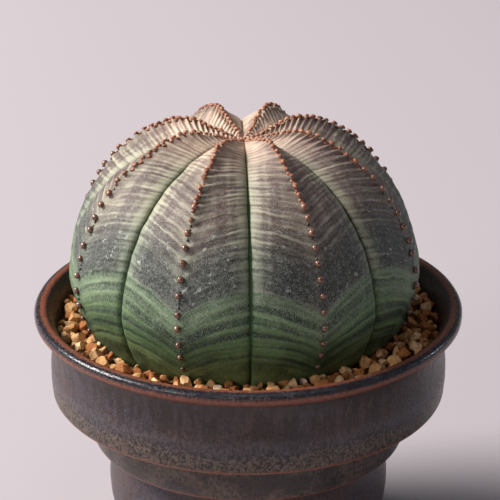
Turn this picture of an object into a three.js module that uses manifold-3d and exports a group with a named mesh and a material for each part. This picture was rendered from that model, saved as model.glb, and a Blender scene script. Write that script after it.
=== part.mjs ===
// A baseball plant, an eight-ribbed leafless globe, rooted in grit in a stepped stoneware pot.
// Millimetres, +Z up. The origin is the centre of the pot's foot, on the surface it stands on.
import * as THREE from "three";
import { ConvexGeometry } from "three/addons/geometries/ConvexGeometry.js";
import { mergeVertices } from "three/addons/utils/BufferGeometryUtils.js";
import Module from "manifold-3d";

// Clearance between pieces that touch.
const GAP = 0.3;

// The pot: a rolled lip on a shallow bowl, then two narrower steps and a foot ring.
const POT_HEIGHT = 72;
const RIM_RADIUS = 55;
const LIP_INNER_RADIUS = 51.9;
const LIP_WIDEST = POT_HEIGHT - 1.8;
const LIP_BOTTOM = POT_HEIGHT - 4.4;
const NECK_RADIUS = 51;
const NECK_HEIGHT = 59;
const BOWL_BELLY = 0.5;
const BOWL_WALL = 2.7;
const BOWL_BOTTOM = 48.6;
const STEP_EDGE = 0.8;
const STEP_COVE = 2;
const MIDDLE_RADIUS = 42;
const MIDDLE_WALL = 4;
const MIDDLE_BOTTOM = 35.3;
const LOWER_RADIUS = 36.8;
const LOWER_BELLY = 1.9;
const LOWER_FULLEST = 21.5;
const LOWER_WALL = 3.4;
const FOOT_RADIUS = 34.5;
const FOOT_RING = 5;
const FOOT_HEIGHT = 9;
const FOOT_EDGE = 0.7;
const FOOT_GROOVE = 0.9;
const FLOOR_BOTTOM = 4;
const FLOOR_TOP = 9;
const DRAIN_RADIUS = 6.5;
const POT_SIDES = 40;
const CURVE_STEPS = 3;

// The net over the drain hole, a disc with square openings.
const NET_RADIUS = 11.5;
const NET_THICKNESS = 1;
const NET_PITCH = 3.6;
const NET_OPENING = 2.5;
const NET_BORDER = 0.9;
const NET_SIDES = 32;

// The grit that fills the pot, and the stones that lie on it.
const GRIT_TOP = 66;
const STONE_COUNT = 50;
const STONE_SMALLEST = 3.5;
const STONE_LARGEST = 4.5;
const STONE_POINTS = 16;
const STONE_INNER_RING = 44.6;
const STONE_OUTER_RING = 46.1;

// The plant. Its heights are above the top of the rim, and it stands a little left of centre.
const RIB_COUNT = 8;
const FIRST_RIDGE = THREE.MathUtils.degToRad(-20.2);
const PLANT_X = -1.1;
const COLUMNS_PER_HALF_RIB = 3;
const ROWS_PER_POINT = 2;

// Radius and height down the crest of a rib, and down the groove beside it, in matched pairs:
// from the sunken crown over the shoulder and the widest part to the grit line.
const CREST = [[0, 42.5], [8, 45], [16, 46.6], [25, 43.2], [33, 37.2], [39, 29.4],
  [42.9, 21], [44.8, 11], [43.6, 4.5], [40, -4.2]];
const GROOVE = [[0, 42.5], [7, 43.8], [13.5, 43.6], [21.5, 40.8], [29.5, 36.2], [36.6, 29.2],
  [41.2, 20.8], [43.7, 11], [42.8, 4.5], [39.4, -4.2]];

// Below the grit line crest and groove run together, into the taproot.
const ROOT = [[33, -11], [20, -17.5], [7.5, -22.5], [5, -32], [2.6, -42], [0, -47]];

const materials = {
  pot: new THREE.MeshStandardMaterial({ color: 0x5a4a48, roughness: 0.35, metalness: 0.05 }),
  net: new THREE.MeshStandardMaterial({ color: 0x2b2d2c, roughness: 0.6, metalness: 0 }),
  grit: new THREE.MeshStandardMaterial({ color: 0x7a5a3c, roughness: 0.95, metalness: 0 }),
  stone: new THREE.MeshStandardMaterial({ color: 0xd9ab78, roughness: 0.9, metalness: 0 }),
  skin: new THREE.MeshStandardMaterial({ color: 0x6d7358, roughness: 0.6, metalness: 0 }),
};

const wasm = await Module();
wasm.setup();

const plant = new THREE.Group();
const root = new THREE.Group();
root.add(plant);
plant.position.set(PLANT_X, 0, POT_HEIGHT);

function addPiece(group, name, geometry, material) {
  const piece = new THREE.Mesh(geometry, material);
  piece.name = name;
  group.add(piece);
}

// Turns an outline of radius and height round the Z axis.
function turned(outline) {
  return new THREE.LatheGeometry(outline, POT_SIDES).rotateX(Math.PI / 2);
}

function solidFrom(geometry) {
  const bare = geometry.clone();
  bare.deleteAttribute("normal");
  bare.deleteAttribute("uv");
  const merged = mergeVertices(bare);
  return new wasm.Manifold(new wasm.Mesh({
    numProp: 3,
    vertProperties: merged.attributes.position.array,
    triVerts: new Uint32Array(merged.index.array),
  }));
}

function geometryFrom(solid) {
  const mesh = solid.getMesh();
  const geometry = new THREE.BufferGeometry();
  geometry.setAttribute("position", new THREE.BufferAttribute(mesh.vertProperties, 3));
  geometry.setIndex(new THREE.BufferAttribute(mesh.triVerts, 1));
  return geometry;
}

// Repeatable random numbers from low to high.
let seed = 20;
function random(low, high) {
  seed = (seed * 16807) % 2147483647;
  return low + (high - low) * seed / 2147483647;
}

// The wall inside the pot, from under the lip down to the floor, drawn inwards by a clearance.
function drawInside(path, gap) {
  const bowl = NECK_RADIUS - BOWL_WALL - gap;
  const middle = MIDDLE_RADIUS - MIDDLE_WALL - gap;
  const lower = LOWER_RADIUS - LOWER_WALL - gap;
  path.lineTo(bowl, BOWL_BOTTOM + 5 + gap);
  path.quadraticCurveTo(bowl - 0.5, BOWL_BOTTOM + 2 + gap, bowl - 4.3, BOWL_BOTTOM + 1.2 + gap);
  path.quadraticCurveTo(middle + 0.4, BOWL_BOTTOM + gap, middle + 0.2, BOWL_BOTTOM - 4);
  path.lineTo(middle, MIDDLE_BOTTOM + 5 + gap);
  path.quadraticCurveTo(middle - 0.4, MIDDLE_BOTTOM + 1 + gap, lower, MIDDLE_BOTTOM - 3);
  path.lineTo(lower - 0.8, FLOOR_TOP + 4 + gap);
  path.quadraticCurveTo(lower - 1.6, FLOOR_TOP + gap, lower - 6, FLOOR_TOP + gap);
}

function makePot() {
  const path = new THREE.Path();
  const footInner = FOOT_RADIUS - FOOT_RING;
  path.moveTo(footInner, 0);
  path.lineTo(FOOT_RADIUS - FOOT_EDGE, 0);
  path.lineTo(FOOT_RADIUS, FOOT_EDGE);
  path.quadraticCurveTo(FOOT_RADIUS, FOOT_HEIGHT - 3, FOOT_RADIUS - FOOT_GROOVE, FOOT_HEIGHT - 1);
  path.lineTo(FOOT_RADIUS, FOOT_HEIGHT + 1.5);
  const lowerFull = LOWER_RADIUS + LOWER_BELLY;
  path.quadraticCurveTo(lowerFull, LOWER_FULLEST, LOWER_RADIUS - 1.4, MIDDLE_BOTTOM - 2.8);
  path.lineTo(MIDDLE_RADIUS - 1 - STEP_EDGE, MIDDLE_BOTTOM);
  path.lineTo(MIDDLE_RADIUS - 1, MIDDLE_BOTTOM + STEP_EDGE);
  path.quadraticCurveTo(MIDDLE_RADIUS, 40, MIDDLE_RADIUS, BOWL_BOTTOM - 2 * STEP_COVE);
  const coveTop = BOWL_BOTTOM - STEP_COVE;
  path.quadraticCurveTo(MIDDLE_RADIUS, coveTop - 0.4, MIDDLE_RADIUS + STEP_COVE, coveTop);
  path.lineTo(NECK_RADIUS - STEP_EDGE, BOWL_BOTTOM);
  path.lineTo(NECK_RADIUS, BOWL_BOTTOM + STEP_EDGE);
  path.quadraticCurveTo(NECK_RADIUS + BOWL_BELLY, 54, NECK_RADIUS, NECK_HEIGHT);
  path.quadraticCurveTo(NECK_RADIUS - 0.3, NECK_HEIGHT + 5, NECK_RADIUS + 1.5, LIP_BOTTOM);
  path.quadraticCurveTo(RIM_RADIUS - 1.2, LIP_BOTTOM + 0.9, RIM_RADIUS, LIP_WIDEST);
  path.quadraticCurveTo(RIM_RADIUS, POT_HEIGHT, RIM_RADIUS - 2, POT_HEIGHT);
  path.quadraticCurveTo(LIP_INNER_RADIUS, POT_HEIGHT, LIP_INNER_RADIUS - 0.6, POT_HEIGHT - 0.9);
  const bowlInner = NECK_RADIUS - BOWL_WALL;
  path.quadraticCurveTo(bowlInner + 0.1, LIP_BOTTOM - 0.6, bowlInner, NECK_HEIGHT + 1);
  drawInside(path, 0);
  path.lineTo(DRAIN_RADIUS, FLOOR_TOP);
  path.lineTo(DRAIN_RADIUS, FLOOR_BOTTOM);
  path.lineTo(footInner - 1, FLOOR_BOTTOM);
  path.lineTo(footInner, 0);
  addPiece(root, "pot", turned(path.getPoints(CURVE_STEPS)), materials.pot);
}

function makeDrainNet() {
  const disc = new THREE.CylinderGeometry(NET_RADIUS, NET_RADIUS, NET_THICKNESS, NET_SIDES);
  const cutter = new THREE.BoxGeometry(NET_OPENING, NET_OPENING, 2 * NET_THICKNESS);
  let net = solidFrom(disc.rotateX(Math.PI / 2));
  const cells = Math.floor(NET_RADIUS / NET_PITCH);
  for (let i = -cells; i <= cells; i++) {
    for (let j = -cells; j <= cells; j++) {
      const [x, y] = [i * NET_PITCH, j * NET_PITCH];
      const corner = Math.hypot(Math.abs(x), Math.abs(y)) + NET_OPENING / Math.SQRT2;
      if (corner > NET_RADIUS - NET_BORDER) continue;
      net = net.subtract(solidFrom(cutter.clone().translate(x, y, 0)));
    }
  }
  const middle = FLOOR_TOP + GAP + NET_THICKNESS / 2;
  addPiece(root, "drain_net", geometryFrom(net).translate(0, 0, middle), materials.net);
}

// Points down a line of the plant, evenly spaced between its given points.
function downLine(points) {
  const curve = new THREE.SplineCurve(points.map(([radius, z]) => new THREE.Vector2(radius, z)));
  return curve.getPoints((points.length - 1) * ROWS_PER_POINT);
}

// How far the skin has come from crest to groove: a straight side on the shoulder, a full
// round side with a narrow crease at the widest part.
function sideways(share, row, rows) {
  const fullness = THREE.MathUtils.smoothstep(row / rows, 0.1, 0.4);
  return THREE.MathUtils.lerp(share, 0.35 * share ** 2 + 0.65 * share ** 6, fullness);
}

function makeStem() {
  const crest = downLine([...CREST, ...ROOT]);
  const groove = downLine([...GROOVE, ...ROOT]);
  const halfSteps = RIB_COUNT * 2 * COLUMNS_PER_HALF_RIB;
  const last = crest.length - 1;
  const positions = [0, 0, crest[0].y];
  for (let row = 1; row < last; row++) {
    for (let column = 0; column < halfSteps; column++) {
      const step = column % (2 * COLUMNS_PER_HALF_RIB);
      const share = Math.min(step, 2 * COLUMNS_PER_HALF_RIB - step) / COLUMNS_PER_HALF_RIB;
      const angle = FIRST_RIDGE + column / halfSteps * 2 * Math.PI;
      const side = sideways(share, row, last);
      const radius = THREE.MathUtils.lerp(crest[row].x, groove[row].x, side);
      const z = THREE.MathUtils.lerp(crest[row].y, groove[row].y, side);
      positions.push(radius * Math.sin(angle), -radius * Math.cos(angle), z);
    }
  }
  positions.push(0, 0, crest[last].y);
  const tip = positions.length / 3 - 1;
  const at = (row, column) => 1 + (row - 1) * halfSteps + column % halfSteps;
  const faces = [];
  for (let column = 0; column < halfSteps; column++) {
    faces.push(0, at(1, column), at(1, column + 1));
    for (let row = 1; row < last - 1; row++) {
      const [a, b] = [at(row, column), at(row, column + 1)];
      const [c, d] = [at(row + 1, column), at(row + 1, column + 1)];
      faces.push(a, c, b, b, c, d);
    }
    faces.push(at(last - 1, column), tip, at(last - 1, column + 1));
  }
  const geometry = new THREE.BufferGeometry();
  geometry.setAttribute("position", new THREE.Float32BufferAttribute(positions, 3));
  geometry.setIndex(faces);
  addPiece(plant, "stem", geometry, materials.skin);
}

// The grit is one body with the shape of the space between the pot, the net and the plant.
function makeSubstrate() {
  const path = new THREE.Path();
  const netEdge = NET_RADIUS + 2 * GAP;
  const overNet = FLOOR_TOP + NET_THICKNESS + 2 * GAP;
  path.moveTo(0, overNet);
  path.lineTo(0, GRIT_TOP);
  path.lineTo(NECK_RADIUS - BOWL_WALL - GAP, GRIT_TOP);
  drawInside(path, GAP);
  path.lineTo(netEdge, FLOOR_TOP + GAP);
  path.lineTo(netEdge, overNet);
  path.lineTo(0, overNet);
  const fill = turned(path.getPoints(CURVE_STEPS).reverse());
  const below = downLine([...CREST, ...ROOT]).filter((point) => point.y < 0);
  const outline = below.map((point) => new THREE.Vector2(point.x + GAP, point.y - GAP));
  outline.unshift(new THREE.Vector2(0, outline[0].y));
  outline.push(new THREE.Vector2(0, outline.at(-1).y - GAP));
  const hollow = turned(outline.reverse()).translate(PLANT_X, 0, POT_HEIGHT);
  const geometry = geometryFrom(solidFrom(fill).subtract(solidFrom(hollow)));
  addPiece(root, "substrate", geometry, materials.grit);
}

// An angular stone of the given size across: the hull of points scattered over an oval.
function stoneGeometry(size) {
  const points = [];
  const [deep, tall] = [random(0.8, 1), random(0.7, 0.9)];
  for (let i = 0; i < STONE_POINTS; i++) {
    const z = 1 - 2 * (i + 0.5) / STONE_POINTS;
    const turn = i * Math.PI * (3 - Math.sqrt(5)) + random(-0.3, 0.3);
    const flat = Math.sqrt(1 - z * z);
    const point = new THREE.Vector3(flat * Math.cos(turn), deep * flat * Math.sin(turn), tall * z);
    points.push(point.multiplyScalar(random(0.82, 1)));
  }
  const stone = new ConvexGeometry(points).rotateZ(random(0, Math.PI));
  stone.computeBoundingSphere();
  const scale = size / 2 / stone.boundingSphere.radius;
  return stone.scale(scale, scale, scale);
}

// Stones lie round the plant in a ring, alternately nearer the plant and nearer the wall.
function makeStones() {
  for (let i = 0; i < STONE_COUNT; i++) {
    const geometry = stoneGeometry(random(STONE_SMALLEST, STONE_LARGEST));
    geometry.computeBoundingBox();
    const angle = (i + random(-0.1, 0.1)) / STONE_COUNT * 2 * Math.PI;
    const radius = i % 2 ? STONE_OUTER_RING : STONE_INNER_RING + random(0, 0.4);
    const x = radius * Math.sin(angle);
    const y = -radius * Math.cos(angle);
    geometry.translate(x, y, GRIT_TOP + GAP - geometry.boundingBox.min.z);
    addPiece(root, "stone_" + String(i + 1).padStart(2, "0"), geometry, materials.stone);
  }
}

makePot();
makeDrainNet();
makeSubstrate();
makeStem();
makeStones();

export default root;
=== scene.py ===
# A potted baseball plant: an eight-ribbed, leafless globe rooted in grit, in a stepped stoneware
# pot. Metres, +Z up, with the centre of the pot's foot at the origin.
import math
import bmesh
import bpy
import numpy as np
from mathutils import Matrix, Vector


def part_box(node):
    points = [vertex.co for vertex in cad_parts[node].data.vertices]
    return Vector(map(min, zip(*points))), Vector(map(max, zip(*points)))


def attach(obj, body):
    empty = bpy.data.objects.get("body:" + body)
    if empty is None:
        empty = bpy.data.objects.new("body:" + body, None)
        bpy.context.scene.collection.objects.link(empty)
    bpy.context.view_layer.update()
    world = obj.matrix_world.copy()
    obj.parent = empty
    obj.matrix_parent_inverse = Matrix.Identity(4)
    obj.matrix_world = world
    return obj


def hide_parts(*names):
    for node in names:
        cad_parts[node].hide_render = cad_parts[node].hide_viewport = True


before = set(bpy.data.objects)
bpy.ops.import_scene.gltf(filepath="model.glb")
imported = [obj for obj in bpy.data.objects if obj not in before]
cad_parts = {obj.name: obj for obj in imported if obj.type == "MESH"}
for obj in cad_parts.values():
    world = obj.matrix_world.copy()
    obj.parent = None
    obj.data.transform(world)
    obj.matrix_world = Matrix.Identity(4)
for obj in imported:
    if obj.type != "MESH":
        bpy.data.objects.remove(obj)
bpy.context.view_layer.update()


# ---- The pot ----
# One piece of wheel-thrown stoneware: a rolled lip on a shallow bowl, two narrower steps and a
# trimmed foot ring round a drain hole. It is dipped in a dark iron glaze that runs thin and
# breaks rust-red along every edge, and pools blue-black in the roll of the lip.
MM = 0.001
pot_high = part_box("pot")[1]
rim = pot_high[0] / MM
tall = pot_high[2] / MM
neck = 51.0
bowl_wall = 2.7
bowl_foot = 48.6
middle = 42.0
middle_wall = 4.0
middle_foot = 35.3
lower = 36.8
lower_wall = 3.4
foot = 34.5
foot_ring = 5.0
foot_tall = 9.0
floor_low = 4.0
floor_top = 9.0
drain = 6.5
pot_sides = 288


class Outline:
    """A line of radius and height in millimetres, drawn as runs and bends in small steps."""

    def __init__(self, radius, height):
        self.points = [(radius, height)]

    def run(self, radius, height, steps=3):
        start = self.points[-1]
        for step in range(1, steps + 1):
            share = step / steps
            self.points.append((start[0] + (radius - start[0]) * share,
                                start[1] + (height - start[1]) * share))

    def bend(self, corner_radius, corner_height, radius, height, steps=9):
        start = self.points[-1]
        for step in range(1, steps + 1):
            b = step / steps
            a = 1 - b
            self.points.append((a * a * start[0] + 2 * a * b * corner_radius + b * b * radius,
                                a * a * start[1] + 2 * a * b * corner_height + b * b * height))


def draw_pot():
    line = Outline(foot - foot_ring, 0)
    line.run(foot - 0.7, 0, 6)
    line.bend(foot, 0, foot, 0.7, 4)
    line.bend(foot, foot_tall - 3, foot - 0.9, foot_tall - 1)
    line.bend(foot - 1.0, foot_tall + 0.3, foot, foot_tall + 1.5, 6)
    line.bend(lower + 1.9, 21.5, lower - 1.4, middle_foot - 2.8, 26)
    line.run(middle - 2.3, middle_foot - 0.1, 6)
    line.bend(middle - 1.5, middle_foot, middle - 1.1, middle_foot + 1, 6)
    line.bend(middle, 40, middle, bowl_foot - 4.1, 12)
    line.bend(middle, bowl_foot - 2.4, middle + 2, bowl_foot - 2, 8)
    line.run(neck - 1.0, bowl_foot - 0.35, 8)
    line.bend(neck - 0.2, bowl_foot - 0.1, neck, bowl_foot + 0.8, 6)
    line.bend(neck + 0.5, 54, neck, 59, 16)
    line.bend(neck - 0.3, 64, neck + 1.5, tall - 4.4, 14)
    line.bend(rim - 1.2, tall - 3.5, rim - 0.3, tall - 2.7, 10)
    line.bend(rim, tall - 2.3, rim, tall - 1.8, 6)
    line.bend(rim, tall, rim - 2, tall, 10)
    line.bend(rim - 3.1, tall, rim - 3.7, tall - 0.9, 8)
    line.bend(neck - 2.6, tall - 5, neck - bowl_wall, 60, 12)
    line.run(neck - bowl_wall, bowl_foot + 5, 4)
    line.bend(neck - bowl_wall - 0.5, bowl_foot + 2, neck - bowl_wall - 4.3, bowl_foot + 1.2)
    line.bend(middle - middle_wall + 0.4, bowl_foot, middle - middle_wall + 0.2, bowl_foot - 4)
    line.run(middle - middle_wall, middle_foot + 5)
    line.bend(middle - middle_wall - 0.4, middle_foot + 1, lower - lower_wall, middle_foot - 3)
    line.run(lower - lower_wall - 0.8, floor_top + 4, 5)
    line.bend(lower - lower_wall - 1.6, floor_top, lower - lower_wall - 6, floor_top)
    line.run(drain + 0.4, floor_top, 6)
    line.bend(drain, floor_top, drain, floor_top - 0.5, 3)
    line.run(drain, floor_low + 0.5, 3)
    line.bend(drain, floor_low, drain + 0.5, floor_low, 3)
    line.run(foot - foot_ring - 1, floor_low, 6)
    line.run(foot - foot_ring - 0.2, 0.3, 4)
    return np.array(line.points)


def ripple(places, size, seed, waves=9):
    """A smooth uneven field from about -1 to 1 over points, whose swells are about size apart."""
    random = np.random.default_rng(seed)
    field = np.zeros(len(places))
    for wave in range(waves):
        direction = random.normal(size=3)
        direction *= random.uniform(0.6, 1.5) / np.linalg.norm(direction)
        field += np.sin(places @ direction * (2 * math.pi / size) + random.uniform(0, 7))
    return field / math.sqrt(waves)


def make_mesh(name, places, faces, edge=None, **fields):
    """A new object from points and faces, with named values stored on its points. Corners
    sharper than the edge angle stay crisp."""
    mesh = bpy.data.meshes.new(name)
    mesh.from_pydata(places.tolist(), [], [list(face) for face in faces])
    mesh.update()
    for field, values in fields.items():
        mesh.attributes.new(field, "FLOAT", "POINT").data.foreach_set("value", values)
    mesh.shade_smooth()
    if edge:
        mesh.set_sharp_from_angle(angle=edge)
    piece = bpy.data.objects.new(name, mesh)
    bpy.context.scene.collection.objects.link(piece)
    return piece


def turn_on_wheel(name, outline, sides, **fields):
    """Turns a closed outline round the Z axis, a hair off true, as thrown clay is."""
    count = len(outline)
    angles = np.arange(sides) / sides * 2 * math.pi
    radius = outline[:, 0][:, None] * np.ones(sides)
    height = outline[:, 1][:, None] * np.ones(sides)
    places = np.stack([radius * np.sin(angles), -radius * np.cos(angles), height], -1)
    places = places.reshape(-1, 3)
    swell = 0.05 * ripple(places, 60, 3) + 0.035 * ripple(places * (0.3, 0.3, 3.0), 7, 4)
    reach = np.hypot(places[:, 0], places[:, 1])
    places[:, :2] *= (1 + (swell - 0.12) / reach)[:, None]
    faces = []
    for row in range(count):
        below = (row + 1) % count
        for side in range(sides):
            beside = (side + 1) % sides
            faces.append((row * sides + side, row * sides + beside,
                          below * sides + beside, below * sides + side))
    fields = {field: np.repeat(values, sides) for field, values in fields.items()}
    return make_mesh(name, places * MM, faces, **fields)


class Finish:
    """A surface finish, laid up from textures, masks and colours into one shader."""

    def __init__(self, name, roughness=0.5, **settings):
        self.material = bpy.data.materials.new(name)
        self.material.use_nodes = True
        self.tree = self.material.node_tree
        self.shader = self.tree.nodes["Principled BSDF"]
        self.shader.inputs["Roughness"].default_value = roughness
        for setting, value in settings.items():
            self.shader.inputs[setting.replace("_", " ")].default_value = value
        self.where = self.node("TexCoord").outputs["Object"]

    def node(self, kind, **settings):
        made = self.tree.nodes.new("ShaderNode" + kind)
        for setting, value in settings.items():
            setattr(made, setting, value)
        return made

    def feed(self, socket, value):
        if isinstance(value, bpy.types.NodeSocket):
            self.tree.links.new(value, socket)
        else:
            socket.default_value = value

    def stored(self, field):
        """A value stored on the mesh's points."""
        return self.node("Attribute", attribute_name=field).outputs["Fac"]

    def grain(self, size, detail=2.0, stretch=(1, 1, 1), sharp=0.5):
        """Cloudy noise whose lumps are about size millimetres, from 0 to 1."""
        space = self.node("Mapping")
        self.feed(space.inputs["Vector"], self.where)
        self.feed(space.inputs["Scale"], stretch)
        noise = self.node("TexNoise")
        self.feed(noise.inputs["Vector"], space.outputs[0])
        self.feed(noise.inputs["Scale"], 1000.0 / size)
        self.feed(noise.inputs["Detail"], detail)
        self.feed(noise.inputs["Roughness"], sharp)
        return noise.outputs["Fac"]

    def sum(self, operation, a, b=0.0, c=0.0):
        made = self.node("Math", operation=operation)
        for socket, value in zip(made.inputs, (a, b, c)):
            self.feed(socket, value)
        return made.outputs[0]

    def rise(self, value, start, end, low=0.0, high=1.0):
        """Goes smoothly from low to high as value goes from start to end."""
        made = self.node("MapRange", interpolation_type="SMOOTHSTEP")
        names = ("Value", "From Min", "From Max", "To Min", "To Max")
        for name, given in zip(names, (value, start, end, low, high)):
            self.feed(made.inputs[name], given)
        return made.outputs["Result"]

    def band(self, value, middle, half, soft):
        """1 where value is within half of middle, fading out over soft."""
        away = self.sum("ABSOLUTE", self.sum("SUBTRACT", value, middle))
        return self.rise(away, half, half + soft, 1.0, 0.0)

    def blend(self, share, under, over):
        made = self.node("Mix", data_type="RGBA", blend_type="MIX")
        for socket, value in zip((made.inputs[0], made.inputs[6], made.inputs[7]),
                                 (share, under, over)):
            self.feed(socket, value)
        return made.outputs[2]

    def height(self):
        """Height above the surface that the pot stands on, in millimetres."""
        parts = self.node("SeparateXYZ")
        self.feed(parts.inputs[0], self.where)
        return self.sum("MULTIPLY", parts.outputs["Z"], 1000.0)

    def relief(self, height, depth):
        """Raises the surface by up to depth millimetres where height is 1."""
        made = self.node("Bump")
        self.feed(made.inputs["Strength"], 1.0)
        self.feed(made.inputs["Distance"], depth * MM)
        self.feed(made.inputs["Height"], height)
        under = self.shader.inputs["Normal"]
        if under.is_linked:
            self.feed(made.inputs["Normal"], under.links[0].from_socket)
        self.feed(under, made.outputs[0])

    def paint(self, colour, roughness=None):
        self.feed(self.shader.inputs["Base Color"], colour)
        if roughness is not None:
            self.feed(self.shader.inputs["Roughness"], roughness)


def tint(red, green, blue):
    """A colour given as it looks on a screen, from 0 to 255, made linear."""
    shown = np.array([red, green, blue]) / 255
    linear = np.where(shown <= 0.04045, shown / 12.92, ((shown + 0.055) / 1.055) ** 2.4)
    return (*linear.tolist(), 1.0)


def iron_glaze():
    """Dark brown under a lavender haze, with drips, specks and rusty edges laid over it in turn."""
    glaze = Finish("iron_glaze", Specular_IOR_Level=0.5)
    height = glaze.height()
    cloud = glaze.grain(9, 4, (1, 1, 1.6), 0.6)
    fleck = glaze.grain(0.8, 4, (1, 1, 0.7), 0.75)
    speck = glaze.rise(glaze.grain(0.65, 4, (1, 1, 0.9), 0.72), 0.49, 0.55)
    streak = glaze.grain(4, 3, (2.4, 2.4, 0.3), 0.6)
    body = glaze.blend(glaze.rise(cloud, 0.38, 0.62), tint(50, 30, 24), tint(50, 39, 44))
    haze = glaze.rise(fleck, 0.46, 0.57, 0, 0.6)
    patch = glaze.rise(glaze.grain(17, 3), 0.42, 0.58)
    body = glaze.blend(haze, body, glaze.blend(patch, tint(92, 66, 62), tint(70, 66, 80)))
    # Dark drips hang from under the lip and fade down the bowl.
    drip = glaze.rise(streak, 0.47, 0.55)
    drip = glaze.sum("MULTIPLY", drip, glaze.rise(height, bowl_foot + 5, tall - 8, 0.15, 0.95))
    body = glaze.blend(drip, body, tint(34, 20, 16))
    # Just under the lip the bowl is darker brown, in an uneven band.
    under_lip_band = glaze.sum("MULTIPLY_ADD", streak, 7.0, height)
    under_lip_band = glaze.rise(under_lip_band, tall - 6, tall - 1.5, 0, 0.75)
    body = glaze.blend(under_lip_band, body, tint(42, 26, 21))
    # A grey bloom settles low on the bowl, over an ochre ring that is full of dark specks.
    drift = glaze.sum("MULTIPLY_ADD", glaze.sum("SUBTRACT", cloud, 0.5), 6.0, height)
    bloom = glaze.band(drift, bowl_foot + 6.0, 0.8, 3.0)
    bloom = glaze.sum("MULTIPLY", bloom, glaze.rise(fleck, 0.4, 0.6, 0.15, 0.7))
    body = glaze.blend(bloom, body, tint(84, 78, 86))
    ochre = glaze.band(drift, bowl_foot + 2.6, 1.6, 1.8)
    ochre = glaze.sum("MULTIPLY", ochre, glaze.rise(fleck, 0.4, 0.56, 0.25, 0.85))
    body = glaze.blend(ochre, body, tint(104, 88, 74))
    specked = glaze.band(drift, bowl_foot + 2.4, 3.0, 2.6)
    body = glaze.blend(glaze.sum("MULTIPLY", speck, specked), body, tint(25, 17, 14))
    # The step below is clouded with ochre, and darker where the glaze has pooled.
    clouding = glaze.band(height, middle_foot + 6.0, 5.0, 1.5)
    clouding = glaze.sum("MULTIPLY", clouding, glaze.rise(cloud, 0.4, 0.62, 0.25, 0.9))
    clouding = glaze.sum("MULTIPLY", clouding, glaze.rise(fleck, 0.4, 0.6))
    body = glaze.blend(clouding, body, tint(96, 80, 60))
    pooled = glaze.band(height, middle_foot + 5.5, 3.0, 2.0)
    pooled = glaze.sum("MULTIPLY", glaze.rise(cloud, 0.5, 0.42), pooled)
    body = glaze.blend(glaze.sum("MULTIPLY", pooled, 0.6), body, tint(28, 22, 20))
    # Inside the pot the thick dark glaze is painted lighter, a painted reflection in its gloss;
    # on the roll of the lip the glaze is thick and nearly black.
    lining_and_painted_reflection = glaze.blend(haze, tint(56, 46, 46), tint(84, 71, 69))
    body = glaze.blend(glaze.stored("inside"), body, lining_and_painted_reflection)
    roll = glaze.stored("roll")
    body = glaze.blend(roll, body, tint(18, 21, 32))
    # Along the edges it breaks rust-red; on the inner edge of the lip it is a duller pinkish grey,
    # partly a painted sheen.
    thin = glaze.stored("thin")
    thin = glaze.rise(glaze.sum("MULTIPLY_ADD", fleck, 0.7, thin), 0.4, 1.1)
    rust_and_painted_sheen = glaze.blend(haze, tint(110, 54, 35), tint(136, 84, 60))
    rust_and_painted_sheen = glaze.blend(glaze.stored("inside"), rust_and_painted_sheen, tint(128, 100, 94))
    body = glaze.blend(thin, body, rust_and_painted_sheen)
    raw = glaze.stored("raw")
    body = glaze.blend(raw, body, glaze.blend(fleck, tint(120, 84, 60), tint(84, 58, 44)))
    satin = glaze.rise(fleck, 0.35, 0.65, 0.26, 0.48)
    shine = glaze.sum("MULTIPLY_ADD", roll, -0.22, satin)
    shine = glaze.sum("MULTIPLY_ADD", raw, 0.4, shine)
    glaze.paint(body, shine)
    wheel = glaze.grain(2.2, 2, (0.05, 0.05, 1.0), 0.5)
    glaze.relief(wheel, 0.06)
    glaze.relief(glaze.grain(0.8, 3, (1, 1, 1), 0.6), 0.07)
    glaze.relief(speck, 0.04)
    return glaze.material


def near(outline, spots):
    """How close each point of an outline is to the nearest spot, 1 on it, in the spot's reach."""
    share = np.zeros(len(outline))
    for radius, height, reach in spots:
        away = np.hypot(outline[:, 0] - radius, outline[:, 1] - height)
        share = np.maximum(share, np.exp(-(away / reach) ** 2))
    return share


pot_line = draw_pot()

# What the glaze does where, point by point down the outline: inside the pot it is dark, on the
# roll of the lip it lies thick, on the edges it runs thin, and the standing ring is left raw.
pot_turn = np.arange(len(pot_line))
lip_top = int(np.argmax(pot_line[:, 1] + 0.01 * pot_line[:, 0]))
inside = 1 / (1 + np.exp(-(pot_turn - lip_top - 12) * 0.9))
inside[pot_line[:, 1] < floor_top - 0.4] = 0
# Each spot is a radius, a height and a reach.
roll_spots = [(rim - 0.8, tall - 0.2, 0.6), (rim - 0.15, tall - 1.0, 0.65)]
thin_spots = [(rim - 2.3, tall, 0.8), (rim - 0.1, tall - 2.5, 0.95),
              (rim - 1.3, tall - 3.9, 0.9), (neck - 0.3, bowl_foot + 0.2, 0.55),
              (middle - 1.5, middle_foot + 0.3, 0.6),
              (foot, foot_tall + 1.3, 0.7), (foot, 1.6, 0.8)]
raw = np.clip(1.3 - pot_line[:, 1], 0, 1)
raw[(pot_line[:, 0] < foot - foot_ring + 0.2) & (pot_line[:, 1] < floor_top - 0.4)] = 1
pot = turn_on_wheel("pot", pot_line, pot_sides, inside=inside, roll=near(pot_line, roll_spots),
                    thin=near(pot_line, thin_spots), raw=raw)
pot.data.materials.append(iron_glaze())
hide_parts("pot")
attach(pot, "root")


# ---- The drain net ----
# A disc cut from a sheet of black plastic netting, laid on the pot's floor over the drain hole
# to keep the grit in. Its strands cross over and under each other and are welded where they meet.
net_low, net_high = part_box("drain_net")
net_radius = net_high[0] / MM
net_middle = (net_low[2] + net_high[2]) / 2 / MM
net_pitch = 1.8
strand_wide = 0.42
strand_thick = 0.3
strand_wave = 0.17


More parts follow.
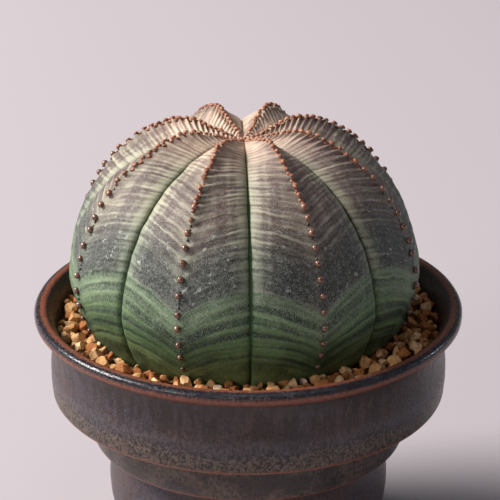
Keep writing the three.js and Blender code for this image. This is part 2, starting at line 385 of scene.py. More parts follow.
def weave_net():
    places, faces = [], []
    around = 10
    theta = np.arange(around) / around * 2 * math.pi
    lines = int(net_radius / net_pitch)
    for across in (0, 1):
        for line in range(-lines, lines + 1):
            offset = line * net_pitch
            reach = math.sqrt(max((net_radius - 0.35) ** 2 - offset ** 2, 0))
            steps = max(6, int(reach * 2 / 0.3))
            run = np.linspace(-reach, reach, steps + 1)
            side = 1 if (line + across) % 2 else -1
            wave = side * strand_wave * np.cos(math.pi * run / net_pitch)
            first = sum(len(part) for part in places)
            ring = np.stack([np.zeros(around), strand_wide * np.cos(theta),
                             strand_thick * np.sin(theta)], -1)
            tube = ring[None] + np.stack([run, np.full(len(run), offset), wave], -1)[:, None]
            tube = tube.reshape(-1, 3)
            if across:
                tube = tube[:, (1, 0, 2)]
            places.append(tube)
            for step in range(steps):
                for i in range(around):
                    a = first + step * around + i
                    b = first + step * around + (i + 1) % around
                    face = (a, b, b + around, a + around)
                    faces.append(face[::-1] if across else face)
            start_cap = tuple(first + i for i in range(around))
            end_cap = tuple(first + steps * around + i for i in range(around))
            faces.append(start_cap if across else start_cap[::-1])
            faces.append(end_cap[::-1] if across else end_cap)
    places = np.concatenate(places) + (0, 0, net_middle)
    return make_mesh("drain_net", places * MM, faces)


def net_plastic():
    plastic = Finish("net_plastic", 0.5)
    dust = plastic.grain(1.5, 3)
    colour = plastic.blend(plastic.rise(dust, 0.5, 0.75, 0, 0.6), tint(34, 36, 35),
                           tint(92, 78, 62))
    plastic.paint(colour, plastic.rise(dust, 0.3, 0.7, 0.38, 0.75))
    plastic.relief(plastic.grain(0.4, 2), 0.03)
    return plastic.material


net = weave_net()
net.data.materials.append(net_plastic())
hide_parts("drain_net")
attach(net, "root")


# ---- The plant ----
# One leafless stem, a globe of eight ribs. As it grows it leaves fine folds that arch from the
# crest of each rib to the groove beside it, and a row of corky tubercles down the crest. The
# skin is green at the base, slate and purple-brown above, and cream where the sun bleaches it.
ribs = 8
first_ridge = math.radians(-20.2)
stem_low, stem_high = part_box("stem")
stem_x = (stem_low[0] + stem_high[0]) / 2 / MM

# Radius and height above the pot's rim, down a crest and down the groove beside it, in matched
# pairs: sunken crown, shoulder, widest part, grit line, and the buried taproot.
crest_points = np.array([
    (0, 42.5), (8, 45), (16, 46.6), (25, 43.2), (33, 37.2), (39, 29.4), (42.9, 21), (44.8, 11),
    (43.6, 4.5), (40, -4.2), (33, -11), (20, -17.5), (7.5, -22.5), (5, -32), (2.6, -42),
    (0, -47)], dtype=float)
groove_points = np.array([
    (0, 42.5), (7, 43.8), (13.5, 43.6), (21.5, 40.8), (29.5, 36.2), (36.6, 29.2), (41.2, 20.8),
    (43.7, 11), (42.8, 4.5), (39.4, -4.2), (33, -11), (20, -17.5), (7.5, -22.5), (5, -32),
    (2.6, -42), (0, -47)], dtype=float)
grit_line = 9
last_point = len(crest_points) - 1
half_columns = 19
rows_per_fold = 7
spacing_first = 1.3
spacing_last = 3.9
fold_height = 0.32
tooth_height = 0.6
crest_height = 0.2
crease_shallow = 0.18
crease_deeper = 0.42


def smooth(value, start, end):
    share = np.clip((value - start) / (end - start), 0, 1)
    return share * share * (3 - 2 * share)


def along(points, place):
    """The smooth line through the points, where place counts them from 0."""
    start = np.clip(np.floor(place).astype(int), 0, last_point - 1)
    b = (place - start)[..., None]
    p0 = points[np.maximum(start - 1, 0)]
    p1 = points[start]
    p2 = points[start + 1]
    p3 = points[np.minimum(start + 2, last_point)]
    return 0.5 * (2 * p1 + (p2 - p0) * b + (2 * p0 - 5 * p1 + 4 * p2 - p3) * b ** 2
                  + (3 * p1 - p0 - 3 * p2 + p3) * b ** 3)


def measured(points):
    """Place and length from the crown at fine steps down a line."""
    place = np.linspace(0, last_point, 3001)
    line = along(points, place)
    steps = np.hypot(*np.diff(line, axis=0).T)
    return place, np.concatenate([[0], np.cumsum(steps)])


crest_place, crest_length = measured(crest_points)
groove_place, groove_length = measured(groove_points)
length_to_grit = float(np.interp(grit_line, crest_place, crest_length))

# Folds are counted down the crest: they start close together and end as far apart as the beads.
fold_length = np.linspace(0, length_to_grit, 2001)
fold_gap = spacing_first + (spacing_last - spacing_first) * smooth(fold_length, 0, 60)
fold_count = np.concatenate([[0], np.cumsum(np.diff(fold_length) / fold_gap[1:])])
last_fold = fold_count[-1]

# Where the skin turns green, in millimetres down the crest, and over how short a way; then how
# far apart its stripes and bands are, and which way faces the side that is painted in shade.
green_from = 62.6
green_edge = 0.6
stripe_gap = 1.45
band_gap = 3.1
sunned_side = math.radians(-30)


def growth_line(fold):
    """Where a growth line meets the crest, and where it meets the groove, as places."""
    length = np.interp(fold, fold_count, fold_length)
    at_crest = np.interp(length, crest_length, crest_place)
    shorter = 0.755 + 0.115 * (length / length_to_grit) ** 2
    at_groove = np.interp(length * shorter, groove_length, groove_place)
    return at_crest, at_groove


def skin_point(place, share, angle):
    """A point of the plain skin: share goes from 0 on the crest to 1 in the groove."""
    crest = along(crest_points, place)
    groove = along(groove_points, place)
    full = smooth(place / last_point, 0.1, 0.4)
    side = share + (0.35 * share ** 2 + 0.65 * share ** 6 - share) * full
    line = crest + (groove - crest) * side[..., None]
    return np.stack([line[..., 0] * np.sin(angle) + stem_x, -line[..., 0] * np.cos(angle),
                     line[..., 1] + tall], -1)


def grow_skin():
    """The grid of the skin with its folds, teeth and creases, and the values that colour it."""
    folds = np.arange(0.35, last_fold, 1 / rows_per_fold)
    buried = np.linspace(0, 1, 15)[1:-1]
    at_crest, at_groove = growth_line(folds)
    at_crest = np.concatenate([at_crest, at_crest[-1] + (last_point - at_crest[-1]) * buried])
    at_groove = np.concatenate([at_groove,
                                at_groove[-1] + (last_point - at_groove[-1]) * buried])
    folds = np.concatenate([folds, last_fold + buried * 3])
    half = 0.5 - 0.5 * np.cos(np.linspace(0, math.pi, half_columns + 1))
    share = np.concatenate([half[:-1], half[::-1][:-1]])
    turn = np.concatenate([half[:-1], 2 - half[::-1][:-1]]) / 2
    share = np.tile(share, ribs)
    turn = (np.repeat(np.arange(ribs), 2 * half_columns) + np.tile(turn, ribs)) / ribs
    angle = first_ridge + turn * 2 * math.pi
    shape = (len(folds), len(share))
    share = np.broadcast_to(share, shape)
    angle = np.broadcast_to(angle, shape)
    arch = 1 - (1 - share) ** 2
    place = at_crest[:, None] + (at_groove - at_crest)[:, None] * arch
    skin = skin_point(place, share, angle)
    down = np.gradient(skin, axis=0)
    round_ = np.roll(skin, -1, 1) - np.roll(skin, 1, 1)
    outward = np.cross(round_, down)
    outward /= -np.linalg.norm(outward, axis=-1, keepdims=True)
    fold = np.broadcast_to(folds[:, None], shape)
    length = np.interp(fold, fold_count, fold_length)
    radius = np.hypot(skin[..., 0] - stem_x, skin[..., 1])
    to_crest = share * radius * math.pi / ribs
    to_groove = (1 - share) * radius * math.pi / ribs
    pulse = 0.5 + 0.5 * np.cos(2 * math.pi * fold)
    shoulder = smooth(length, 2, 12) * (1 - 0.92 * smooth(length, 34, 58))
    above = smooth(place, grit_line + 1.5, grit_line - 0.5)
    # Folds on the shoulder, teeth along the crest, the crest itself, and the groove's crease.
    raised = fold_height * shoulder * (pulse - 0.4) * (1 - share) ** 1.1
    raised += 0.05 * shoulder * np.cos(4 * math.pi * fold) * (1 - 0.6 * share)
    tooth = 0.25 + 0.75 * smooth(length, 1, 9) * (1 - 0.85 * smooth(length, 30, 52))
    raised += tooth_height * tooth * (pulse - 0.35) * np.exp(-(to_crest / 1.5) ** 2) * above
    raised += crest_height * np.exp(-(to_crest / 1.8) ** 2) * above
    crease = crease_shallow + crease_deeper * smooth(length, 15, 60)
    wide = 0.26 + 0.2 * smooth(length, 30, 75)
    raised -= crease * np.exp(-(to_groove / wide) ** 2) * above
    flat = skin.reshape(-1, 3)
    raised += 0.10 * ripple(flat, 9, 11).reshape(shape)
    raised += 0.05 * ripple(flat, 3.2, 12).reshape(shape)
    skin = skin + outward * raised[..., None]
    return skin, outward, fold, share, to_groove


def beads_on(skin, outward, fold):
    """Corky tubercles on every crest: wedges near the crown, round beads from there down."""
    random = np.random.default_rng(5)
    places, faces, corks = [], [], []
    around, rings = 10, 6
    theta = np.arange(around) / around * 2 * math.pi
    phi = np.arange(1, rings) / rings * math.pi
    ball = np.concatenate([[(0, 0, 1)], np.stack([
        np.outer(np.sin(phi), np.cos(theta)), np.outer(np.sin(phi), np.sin(theta)),
        np.outer(np.cos(phi), np.ones(around))], -1).reshape(-1, 3), [(0, 0, -1)]])
    ball_faces = [(0, 1 + i, 1 + (i + 1) % around) for i in range(around)]
    for ring in range(rings - 2):
        for i in range(around):
            a = 1 + ring * around + i
            b = 1 + ring * around + (i + 1) % around
            ball_faces.append((a, a + around, b + around, b))
    tip = len(ball) - 1
    last_ring = 1 + (rings - 2) * around
    ball_faces += [(last_ring + i, tip, last_ring + (i + 1) % around) for i in range(around)]
    total = 0
    for rib in range(ribs):
        column = rib * 2 * half_columns
        for count in np.arange(3, 3 * int(last_fold)) / 3:
            main = abs(count - round(count)) < 0.1
            where = count + random.uniform(-0.07, 0.07)
            row = int(np.argmin(np.abs(fold[:, column] - where)))
            length = float(np.interp(where, fold_count, fold_length))
            gap = float(np.interp(where, fold_count, fold_gap))
            late = float(smooth(np.array(length), 28, 48))
            if not main and (length < 5 or random.uniform() < 0.08 + 0.52 * late):
                continue
            if length > 78 and random.uniform() < 0.5:
                continue
            normal = outward[row, column]
            down = skin[row + 1, column] - skin[row - 1, column]
            down -= normal * (down @ normal)
            down /= np.linalg.norm(down)
            side = np.cross(normal, down)
            early = min(0.4 * gap, 0.68)
            size = (early * (1 - late) + 0.86 * late) * random.uniform(0.88, 1.12)
            size *= 1 - 0.3 * float(smooth(np.array(length), 66, 80))
            if not main:
                near_crown = random.uniform(0.65, 1.05)
                further_down = random.uniform(0.3, 0.45)
                size *= near_crown * (1 - late) + further_down * late
            long = size * random.uniform(0.95, 1.3 - 0.2 * late)
            wide = size * (0.95 + 0.05 * late)
            proud = size * (0.62 + 0.33 * late)
            lump = ball * (long, wide, proud)
            rough = 0.17 - 0.1 * late
            lump *= (1 + rough * ripple(ball * 2, 2.4, rib * 100 + int(count * 3)))[:, None]
            centre = skin[row, column] + normal * proud * 0.35 * late
            centre = centre + side * random.uniform(-0.3, 0.3) * (1 - 0.7 * late)
            lump = centre + lump[:, :1] * down + lump[:, 1:2] * side + lump[:, 2:] * normal
            places.append(lump)
            faces += [tuple(total + corner for corner in face) for face in ball_faces]
            corks.append(np.full(len(lump), 1.0 if main or late < 0.5 else 0.6))
            total += len(lump)
    return np.concatenate(places), faces, np.concatenate(corks)


class SkinFinish(Finish):
    """A finish that can also be drawn out along the growth of the plant."""

    def weave(self, round_, down, detail=2.0):
        """Noise drawn out into threads: round_ is how many times it changes in a turn of one
        radian, and down how many times in a millimetre of growth down the rib."""
        flat = self.node("Mapping", vector_type="TEXTURE")
        self.feed(flat.inputs["Vector"], self.where)
        self.feed(flat.inputs["Location"], (stem_x * MM, 0, 0))
        level = self.node("VectorMath", operation="MULTIPLY")
        self.feed(level.inputs[0], flat.outputs[0])
        self.feed(level.inputs[1], (1, 1, 0))
        facing = self.node("VectorMath", operation="NORMALIZE")
        self.feed(facing.inputs[0], level.outputs[0])
        across = self.node("VectorMath", operation="SCALE")
        self.feed(across.inputs[0], facing.outputs[0])
        self.feed(across.inputs["Scale"], round_)
        lift = self.node("CombineXYZ")
        self.feed(lift.inputs["Z"], self.sum("MULTIPLY", self.stored("reach"), down))
        place = self.node("VectorMath", operation="ADD")
        self.feed(place.inputs[0], across.outputs[0])
        self.feed(place.inputs[1], lift.outputs[0])
        noise = self.node("TexNoise")
        self.feed(noise.inputs["Vector"], place.outputs[0])
        self.feed(noise.inputs["Scale"], 1.0)
        self.feed(noise.inputs["Detail"], detail)
        return noise.outputs["Fac"]


def plant_skin():
    """Light and dark skin colours that change down the rib, mixed by stripes along the growth."""
    skin = SkinFinish("plant_skin", 0.55, Specular_IOR_Level=0.3)
    share = skin.stored("share")
    blotch = skin.grain(4.5, 3, (1, 1, 1), 0.6)
    cloud = skin.grain(12, 3)
    fine = skin.grain(0.9, 3, (1, 1, 1), 0.7)
    mealy = skin.weave(210.0, 2.6, 2)
    thread = skin.weave(2.2, 0.85, 3)
    layer = skin.weave(1.3, 0.36, 3)
    strand = skin.weave(9.0, 0.03, 2)
    unevenly = skin.sum("SUBTRACT", blotch, 0.5)
    shaken = skin.sum("MULTIPLY_ADD", unevenly, 1.6, skin.stored("reach"))
    # From the crown down: bleached cream and rose, then grey-green, slate, and two greens.
    shoulder = skin.rise(shaken, 14, 34)
    flank = skin.rise(shaken, 40, 58)
    light = skin.blend(shoulder, tint(222, 196, 172), tint(178, 172, 150))
    light = skin.blend(flank, light, tint(126, 133, 118))
    dark = skin.blend(shoulder, tint(126, 94, 88), tint(82, 59, 57))
    dark = skin.blend(flank, dark, tint(42, 44, 45))
    # Painted shade: the side turned from the window is painted browner and darker.
    past_crown = skin.rise(shaken, 10, 24, 0.4, 1.0)
    sunned = skin.sum("MULTIPLY", skin.stored("sunned"), past_crown)
    light = skin.blend(skin.sum("MULTIPLY", sunned, 0.6), light, tint(142, 122, 114))
    in_green = skin.rise(shaken, green_from - green_edge, green_from + green_edge)
    light = skin.blend(in_green, light, tint(122, 142, 108))
    dark = skin.blend(in_green, dark, tint(34, 56, 34))
    low = skin.rise(shaken, green_from + 1, green_from + 9)
    light = skin.blend(low, light, tint(84, 112, 66))
    dark = skin.blend(low, dark, tint(20, 42, 19))
    # Painted light: near the grit the foot is painted paler, for light thrown up from the grit.
    painted_foot_light = skin.rise(shaken, length_to_grit - 6, length_to_grit + 2)
    light = skin.blend(painted_foot_light, light, tint(134, 154, 92))
    dark = skin.blend(painted_foot_light, dark, tint(46, 66, 32))
    # Fine stripes follow the growth lines; lower down, broad bands join them.
    wavy = skin.sum("MULTIPLY_ADD", skin.sum("SUBTRACT", thread, 0.5), 0.9, shaken)
    stripe = skin.sum("COSINE", skin.sum("MULTIPLY", wavy, 2 * math.pi / stripe_gap))
    broad = skin.sum("COSINE", skin.sum("MULTIPLY", wavy, 2 * math.pi / band_gap))
    patchy = skin.rise(skin.weave(3.5, 0.25), 0.38, 0.62, 0.4, 1.0)
    toward_groove = skin.rise(share, 0.05, 0.5, 0.4, 1.0)
    upper = skin.rise(shaken, green_from - green_edge, green_from + green_edge, 1.0, 0.0)
    slate = skin.rise(shaken, green_from - 20, green_from - 6)
    slate = skin.sum("MULTIPLY", slate, upper)
    slate = skin.sum("MULTIPLY", slate, skin.rise(share, 0.3, 0.85, 1.0, 0.4))
    fine_share = skin.sum("MULTIPLY", patchy, toward_groove)
    fine_share = skin.sum("MULTIPLY", fine_share, skin.rise(slate, 0, 1, 0.44, 0.2))
    fine_share = skin.sum("MULTIPLY", fine_share, skin.rise(upper, 0, 1, 0.5, 1.0))
    stripe = skin.sum("MULTIPLY", stripe, fine_share)
    broad_share = skin.sum("MULTIPLY", patchy, skin.rise(shaken, 14, 42, 0.05, 0.46))
    broad_share = skin.sum("MULTIPLY", broad_share, skin.rise(share, 0.05, 0.5, 0.45, 1.0))
    stripe = skin.sum("MULTIPLY_ADD", broad, broad_share, stripe)
    layer = skin.sum("SUBTRACT", layer, 0.5)
    layer = skin.sum("MULTIPLY", layer, skin.rise(upper, 0, 1, 2.9, 1.2))
    stripe = skin.sum("ADD", stripe, layer)
    # Painted shadows run down beside the groove, for the shade of its slow waves: two narrow dark
    # ones and a broad one further off; and a painted highlight lies along the groove's edge.
    wander = skin.sum("SUBTRACT", cloud, 0.5)
    aside = skin.sum("MULTIPLY_ADD", wander, 3.0, skin.stored("aside"))
    painted_shadow_one = skin.band(aside, 6.3, 0.5, 1.6)
    painted_shadow_two = skin.band(aside, 3.6, 0.2, 1.1)
    painted_shadow_broad = skin.band(aside, 10.5, 1.5, 3.0)
    painted_groove_highlight = skin.band(aside, 0.8, 0.6, 1.6)
    shade = skin.sum("MULTIPLY_ADD", stripe, -1.0, 0.5)
    down_flank = skin.sum("MULTIPLY", upper, skin.rise(shaken, 16, 34, 0.3, 1.0))
    for mask, weight in ((painted_shadow_one, 0.6), (painted_shadow_two, 0.35), (painted_shadow_broad, 0.3),
                         (painted_groove_highlight, -0.25)):
        shade = skin.sum("MULTIPLY_ADD", skin.sum("MULTIPLY", mask, down_flank), weight, shade)
    shade = skin.sum("MULTIPLY_ADD", slate, 0.5, shade)
    # Painted shade, darker still on the side turned from the window.
    shade = skin.sum("MULTIPLY_ADD", skin.sum("MULTIPLY", sunned, upper), 0.15, shade)
    shade = skin.sum("MULTIPLY_ADD", in_green, 0.08, shade)
    for field, weight in ((thread, 0.9), (strand, 0.7), (blotch, 0.3), (fine, 0.4),
                          (mealy, 0.55)):
        shade = skin.sum("MULTIPLY_ADD", skin.sum("SUBTRACT", field, 0.5), weight, shade)
    colour = skin.blend(skin.rise(shade, -0.2, 1.3), light, dark)
    # A green tinge by the groove, a mealy bloom, dry scars and the deep green groove line.
    tinge = skin.rise(share, 0.72, 0.95, 0, 0.28)
    tinge = skin.sum("MULTIPLY", tinge, skin.rise(shaken, 10, 30))
    colour = skin.blend(skin.sum("MULTIPLY", tinge, upper), colour, tint(124, 138, 104))
    thinning = skin.rise(shaken, green_from + 4, green_from + 14, 0.4, 0.2)
    bloom = skin.rise(mealy, 0.62, 0.4)
    bloom = skin.sum("MULTIPLY", bloom, skin.rise(fine, 0.4, 0.6, 0.3, 1.0))
    bloom = skin.sum("MULTIPLY", bloom, thinning)
    colour = skin.blend(bloom, colour, tint(168, 174, 162))
    scar = skin.rise(skin.weave(24.0, 0.7, 5), 0.63, 0.69)
    scar = skin.sum("MULTIPLY", scar, skin.band(shaken, green_from - 9, 6, 6))
    colour = skin.blend(skin.sum("MULTIPLY", scar, 0.5), colour, tint(186, 190, 182))
    line = skin.rise(share, skin.rise(shaken, 5, 70, 0.965, 0.975), 0.995)
    colour = skin.blend(skin.sum("MULTIPLY", line, 0.85), colour, tint(42, 74, 34))
    skin.paint(colour, skin.rise(fine, 0.3, 0.7, 0.5, 0.7))
    skin.relief(stripe, 0.06)
    skin.relief(fine, 0.08)
    skin.relief(mealy, 0.05)
    return skin.material


def cork():
    """Rusty and rough near the crown, dark and polished lower down; the side beads darker."""
    bark = Finish("tubercle_cork", 0.36, Specular_IOR_Level=0.9)
    reach = bark.stored("reach")
    mottle = bark.grain(0.5, 3)
    dark = bark.blend(bark.rise(reach, 10, 24), tint(120, 70, 50), tint(84, 44, 29))
    dark = bark.blend(bark.rise(reach, 30, 48), dark, tint(72, 49, 38))
    light = bark.blend(bark.rise(reach, 10, 24), tint(192, 134, 98), tint(170, 98, 58))
    light = bark.blend(bark.rise(reach, 30, 48), light, tint(128, 90, 70))
    colour = bark.blend(bark.rise(mottle, 0.35, 0.65), dark, light)
    colour = bark.blend(bark.rise(bark.stored("cork"), 0.95, 0.65), colour, tint(48, 36, 28))
    gloss = bark.rise(reach, 25, 48, 0.6, 0.1)
    bark.paint(colour, bark.sum("MULTIPLY_ADD", mottle, 0.1, gloss))
    bark.relief(mottle, 0.03)
    return bark.material


def grow_plant():
    skin, outward, fold, share, aside = grow_skin()
    rows, columns = fold.shape
    crown = np.array([[stem_x, 0, crest_points[0, 1] + tall]])
    root_tip = np.array([[stem_x, 0, crest_points[-1, 1] + tall]])
    beads, bead_faces, corks = beads_on(skin, outward, fold)
    places = np.concatenate([crown, skin.reshape(-1, 3), root_tip, beads])
    faces = [(0, 1 + column, 1 + (column + 1) % columns) for column in range(columns)]
    for row in range(rows - 1):
        start = 1 + row * columns
        for column in range(columns):
            a = start + column
            b = start + (column + 1) % columns
            faces.append((a, a + columns, b + columns, b))
    tip = 1 + rows * columns
    start = tip - columns
    faces += [(start + c, tip, start + (c + 1) % columns) for c in range(columns)]
    skin_faces = len(faces)
    faces += [tuple(tip + 1 + corner for corner in face) for face in bead_faces]
    reach = np.linalg.norm(beads[:, None, :2] - [[stem_x, 0]], axis=-1).reshape(-1)
    nearest = np.interp(beads[:, 2] - tall, crest_points[9:1:-1, 1], np.arange(9, 1, -1.0))
    bead_reach = np.interp(nearest, crest_place, crest_length)
    bead_reach = np.where(reach < 16, reach, bead_reach)
    skin_reach = np.interp(fold, fold_count, fold_length).reshape(-1)
    skin_reach += np.maximum(fold.reshape(-1) - last_fold, 0) * spacing_last
    reach = np.concatenate([[0.0], skin_reach, [length_to_grit + 3 * spacing_last], bead_reach])
    shares = np.concatenate([[1.0], share.reshape(-1), [0.5], np.zeros(len(beads))])
    asides = np.concatenate([[0.0], aside.reshape(-1), [0.0], np.zeros(len(beads))])
    corks = np.concatenate([np.zeros(tip + 1), corks])
    # How squarely each point faces the side that is painted in shade.
    facing = np.arctan2(places[:, 1], places[:, 0] - stem_x)
    sunned = np.clip(np.cos(facing - sunned_side) * 1.25 - 0.25, 0, 1)
    plant = make_mesh("stem", places * MM, faces, reach=reach, share=shares, aside=asides,
                      cork=corks, sunned=sunned)
    plant.data.materials.append(plant_skin())
    plant.data.materials.append(cork())
    slots = np.zeros(len(faces), dtype=np.int32)
    slots[skin_faces:] = 1
    plant.data.polygons.foreach_set("material_index", slots)
    return plant


stem = grow_plant()
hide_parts("stem")
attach(stem, "root")


# ---- The grit ----
# Fine crushed clay and pumice, packed round the root to a little below the rim. It takes the
# shape of the pot inside and of the buried stem, and its top is uneven.
grit_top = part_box("substrate")[1][2] / MM
clear = 0.3
net_pocket = 12.1
grit_sides = 240


def fill_pot():
    """One body from the net up the wall, in over the top, and down round the root."""
    over_net = floor_top + 1 + 2 * clear
    line = Outline(0, over_net)
    line.run(net_pocket, over_net, 6)
    line.run(net_pocket, floor_top + clear, 2)
    wall = pot_line[(pot_turn > lip_top) & (pot_line[:, 1] > floor_top + clear)
                    & (pot_line[:, 1] < grit_top - 1)][::-1]
    wall = np.stack([wall[:, 0] - 2 * clear, wall[:, 1] + clear], -1)
    line.points += [(float(r), float(z)) for r, z in wall if r > 12.5]
    edge = line.points[-1][0] + 0.3
    line.run(edge, grit_top - 0.3, 2)
    outer = len(line.points)
    hollow = along(crest_points, np.linspace(grit_line + 0.35, last_point, 40))
    hollow = hollow + (1.5 * clear, 0)
    hollow[:, 1] += tall - 1.5 * clear
    line.run(float(hollow[0, 0]), grit_top - 0.3, 36)
    top = len(line.points) - outer
    line.points += [(float(r), float(z)) for r, z in hollow[1:-1]]
    line.points.append((0.0, float(hollow[-1, 1]) - clear))
    line = np.array(line.points)
    shift = np.zeros(len(line))
    shift[outer:outer + top] = np.linspace(0, stem_x, top)
    shift[outer + top:] = stem_x
    sides = grit_sides
    angles = np.arange(sides) / sides * 2 * math.pi
    rows = line[1:-1]
    places = np.stack([rows[:, :1] * np.sin(angles) + shift[1:-1, None],
                       -rows[:, :1] * np.cos(angles),
                       rows[:, 1:] * np.ones(sides)], -1)
    crust = places[outer - 1:outer + top - 1]
    bumps = 0.16 * ripple(crust.reshape(-1, 3), 2.6, 31) + 0.1 * ripple(
        crust.reshape(-1, 3), 1.1, 32)
    crust[..., 2] += np.minimum(bumps.reshape(crust.shape[:2]), 0.28)
    places = np.concatenate([[(0, 0, line[0, 1])], places.reshape(-1, 3),
                             [(stem_x, 0, line[-1, 1])]])
    faces = [(0, 1 + (side + 1) % sides, 1 + side) for side in range(sides)]
    for row in range(len(rows) - 1):
        for side in range(sides):
            a = 1 + row * sides + side
            b = 1 + row * sides + (side + 1) % sides
            faces.append((a, b, b + sides, a + sides))
    tip = len(places) - 1
    start = tip - sides
    faces += [(start + side, start + (side + 1) % sides, tip) for side in range(sides)]
    return make_mesh("substrate", places * MM, faces)


def grit_finish():
    grit = Finish("grit", 0.95, Specular_IOR_Level=0.25)
    grains = grit.node("TexVoronoi")
    grit.feed(grains.inputs["Vector"], grit.where)
    grit.feed(grains.inputs["Scale"], 1000.0)
    pick = grit.node("SeparateColor")
    grit.feed(pick.inputs[0], grains.outputs["Color"])
    colour = grit.blend(pick.outputs["Red"], tint(96, 62, 38), tint(176, 126, 78))
    # Painted shade: the gaps between the grains are painted dark.
    between = grit.rise(grains.outputs["Distance"], 0.35, 0.75)
    colour = grit.blend(between, colour, tint(52, 32, 20))
    grit.paint(colour)
    grit.relief(grit.sum("SUBTRACT", 1.0, grains.outputs["Distance"]), 0.35)
    grit.relief(grit.grain(0.4, 3), 0.08)
    return grit.material


grit = fill_pot()
grit.data.materials.append(grit_finish())
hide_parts("substrate")
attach(grit, "root")


# ---- The stones ----
# Loose granules of fired clay and pumice spread over the grit: broken, porous, ochre to cream,
# three to five millimetres across, with smaller chips that have settled between them.
chip_count = 620
chip_sizes = (1.9, 4.6)
chip_tries = 16
chips_between = (38, 51)
chips_below_rim = 3.6
chips_off = 16
chip_kinds = 40
broken_edge = math.radians(24)


def ball_grid(cuts):
    ball = bmesh.new()
    bmesh.ops.create_icosphere(ball, subdivisions=cuts, radius=1.0)
    places = np.array([vert.co[:] for vert in ball.verts])
    faces = np.array([[vert.index for vert in face.verts] for face in ball.faces])
    ball.free()
    return places, faces


def broken_stone(ball, seed):
    """A ball chipped flat on many sides, then pitted: a stone whose box is 2 by 2 by 2."""
    random = np.random.default_rng(seed)
    stone = ball.copy()
    for chip in range(chips_off):
        facing = random.normal(size=3)
        facing /= np.linalg.norm(facing)
        over = np.maximum(stone @ facing - random.uniform(0.42, 0.8), 0)
        stone -= facing * over[:, None]
    swell = 0.035 * ripple(stone, 0.9, seed + 1) + 0.02 * ripple(stone, 0.42, seed + 2)
    stone *= (1 + swell)[:, None]
    stone -= (stone.max(0) + stone.min(0)) / 2
    return stone / stone.max(0)


def turned_over(random):
    """A random turn."""
    turn = np.linalg.qr(random.normal(size=(3, 3)))[0]
    return turn * np.sign(np.linalg.det(turn))


def stone_finish():
    stone = Finish("gravel", 0.92, Specular_IOR_Level=0.3)
    shade = stone.stored("shade")
    cloud = stone.grain(1.6, 3, (1, 1, 1), 0.6)
    pore = stone.grain(0.35, 2, (1, 1, 1), 0.6)
    colour = stone.blend(stone.rise(shade, 0.3, 0.6), tint(158, 98, 56), tint(212, 164, 112))
    colour = stone.blend(stone.rise(shade, 0.65, 0.95), colour, tint(230, 196, 150))
    colour = stone.blend(stone.rise(shade, 0.97, 0.99), colour, tint(226, 206, 178))
    colour = stone.blend(stone.rise(cloud, 0.42, 0.62, 0, 0.55), colour, tint(170, 112, 64))
    # Painted shade: the pits are painted dark brown where the relief sinks.
    colour = stone.blend(stone.rise(pore, 0.45, 0.32, 0, 0.7), colour, tint(92, 54, 28))
    stone.paint(colour)
    stone.relief(pore, 0.12)
    stone.relief(cloud, 0.15)
    return stone.material


gravel = stone_finish()
fine_ball, fine_faces = ball_grid(3)
resting = []
stones = sorted(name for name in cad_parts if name.startswith("stone_"))
for number, name in enumerate(stones):
    stone_low, stone_high = (np.array(corner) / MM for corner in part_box(name))
    centre = (stone_low + stone_high) / 2
    half = (stone_high - stone_low) / 2
    shape = centre + broken_stone(fine_ball, 400 + number) * half
    shade = np.random.default_rng(number).uniform(0, 1)
    piece = make_mesh(name, shape * MM, fine_faces, broken_edge,
                      shade=np.full(len(shape), shade))
    piece.data.materials.append(gravel)
    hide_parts(name)
    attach(piece, "root")
    resting.append((*centre, float(half.mean())))


def settle_chips():
    """Drops chips one by one into the ring between plant and wall, each at the lowest of a few
    places, where it rests on what lies there already."""
    random = np.random.default_rng(77)
    lying = np.array(resting)
    wall_side = pot_line[(pot_turn > lip_top + 3) & (pot_line[:, 1] > 60)][::-1]
    stem_heights = np.linspace(grit_line - 1.5, grit_line + 1, 30)
    stem_side = along(crest_points, stem_heights)[::-1]
    placed = []
    for chip in range(chip_count):
        radius = random.uniform(*chip_sizes) / 2
        if random.uniform() < 0.5:
            radius *= 0.72
        best = None
        for attempt in range(chip_tries):
            angle = random.uniform(0, 2 * math.pi)
            reach = random.uniform(*chips_between)
            x = reach * math.sin(angle)
            y = -reach * math.cos(angle)
            gap = np.hypot(lying[:, 0] - x, lying[:, 1] - y)
            touch = (lying[:, 3] + radius) * 0.9
            under = gap < touch
            z = grit_top + radius * 0.8
            if under.any():
                lift = np.sqrt(touch[under] ** 2 - gap[under] ** 2)
                z = max(z, float((lying[under, 2] + lift).max()))
            wall = np.interp(z, wall_side[:, 1], wall_side[:, 0]) - radius * 0.85
            stem_edge = np.interp(z - tall, stem_side[:, 1], stem_side[:, 0]) + radius * 0.8
            from_stem = math.hypot(x - stem_x, y)
            if reach > wall or from_stem < stem_edge:
                continue
            # They heap up a little towards the plant.
            near_stem = np.clip((wall - reach) / 7.0, 0, 1)
            if z + radius > tall - chips_below_rim + 1.1 * near_stem:
                continue
            if best is None or z < best[2]:
                best = (x, y, z, radius)
        if best is not None:
            placed.append(best)
            lying = np.vstack([lying, best])
    return placed


def lay_chips():
    ball, ball_faces = ball_grid(2)
    places, faces, shades = [], [], []
    random = np.random.default_rng(78)
    kinds = [broken_stone(ball, 900 + kind) for kind in range(chip_kinds)]
    for count, (x, y, z, radius) in enumerate(settle_chips()):
        turn = turned_over(random)
        stretch = np.array([random.uniform(1.0, 1.25), 1.0, random.uniform(0.72, 0.95)])
        chip = (kinds[count % len(kinds)] * stretch * radius) @ turn.T
        places.append(chip + (x, y, z))
        faces.append(ball_faces + count * len(ball))
        shades.append(np.full(len(chip), random.uniform(0, 1)))
    chips = make_mesh("stone_chips", np.concatenate(places) * MM, np.concatenate(faces),
                      broken_edge, shade=np.concatenate(shades))
    chips.data.materials.append(gravel)
    return chips


chips = lay_chips()
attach(chips, "root")


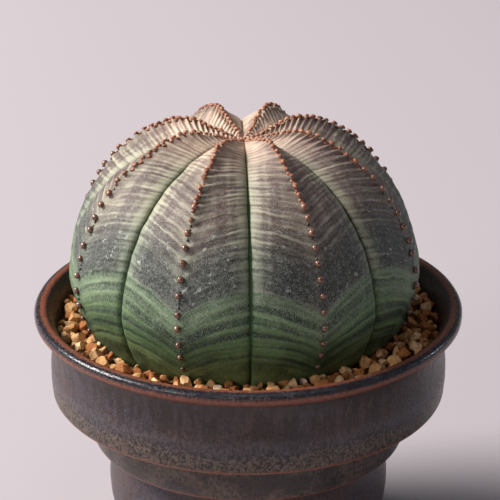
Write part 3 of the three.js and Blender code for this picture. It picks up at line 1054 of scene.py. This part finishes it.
# ---- Studio ----
# A plain pale floor, a large soft window on the left, three faint lights that fill its shadows,
# and a camera in front, looking down on the plant from half a metre away.
floor = Finish("studio_floor", 0.7)
floor.paint(tint(178, 171, 176))
ground_size = 6.0
bpy.ops.mesh.primitive_plane_add(size=ground_size)
ground = bpy.context.object
ground.name = "studio_floor"
ground.data.materials.append(floor.material)


def aim(piece, place, target):
    piece.location = place
    direction = np.array(target) - np.array(place)
    flat = math.hypot(direction[0], direction[1])
    piece.rotation_euler = (math.pi / 2 + math.atan2(direction[2], flat), 0,
                            math.atan2(-direction[0], direction[1]))


def soft_light(name, place, size, power, colour):
    lamp = bpy.data.lights.new(name, "AREA")
    lamp.shape = "DISK"
    lamp.size = size
    lamp.energy = power
    lamp.color = colour
    holder = bpy.data.objects.new(name, lamp)
    bpy.context.scene.collection.objects.link(holder)
    aim(holder, place, (0, 0, 0.08))


soft_light("window", (-2.5, 0.4, 2.1), 1.7, 225.0, (1.0, 0.965, 0.93))
soft_light("near_window", (-2.0, -2.2, 1.5), 1.0, 24.0, (1.0, 0.97, 0.95))
soft_light("ceiling", (0.2, -0.9, 3.0), 1.2, 5.0, (1.0, 0.98, 0.97))
soft_light("far_window", (2.8, 1.1, 1.0), 0.5, 9.0, (0.74, 0.85, 1.0))

sky = bpy.data.worlds.new("studio_air")
sky.use_nodes = True
sky.node_tree.nodes["Background"].inputs["Color"].default_value = (0.86, 0.84, 0.9, 1.0)
sky.node_tree.nodes["Background"].inputs["Strength"].default_value = 0.14
bpy.context.scene.world = sky
bpy.context.scene.view_settings.view_transform = "Standard"

camera_away = 0.5
camera_up = math.radians(24.1)
camera_dip = math.radians(22.67)
camera_yaw = math.radians(-0.053)
lens = bpy.data.cameras.new("camera")
lens.sensor_width = 36.0
lens.lens = 139.9
camera = bpy.data.objects.new("camera", lens)
bpy.context.scene.collection.objects.link(camera)
camera.location = (0, -camera_away * math.cos(camera_up),
                   pot_high[2] + camera_away * math.sin(camera_up))
camera.rotation_euler = (math.pi / 2 - camera_dip, 0, camera_yaw)
bpy.context.scene.camera = camera
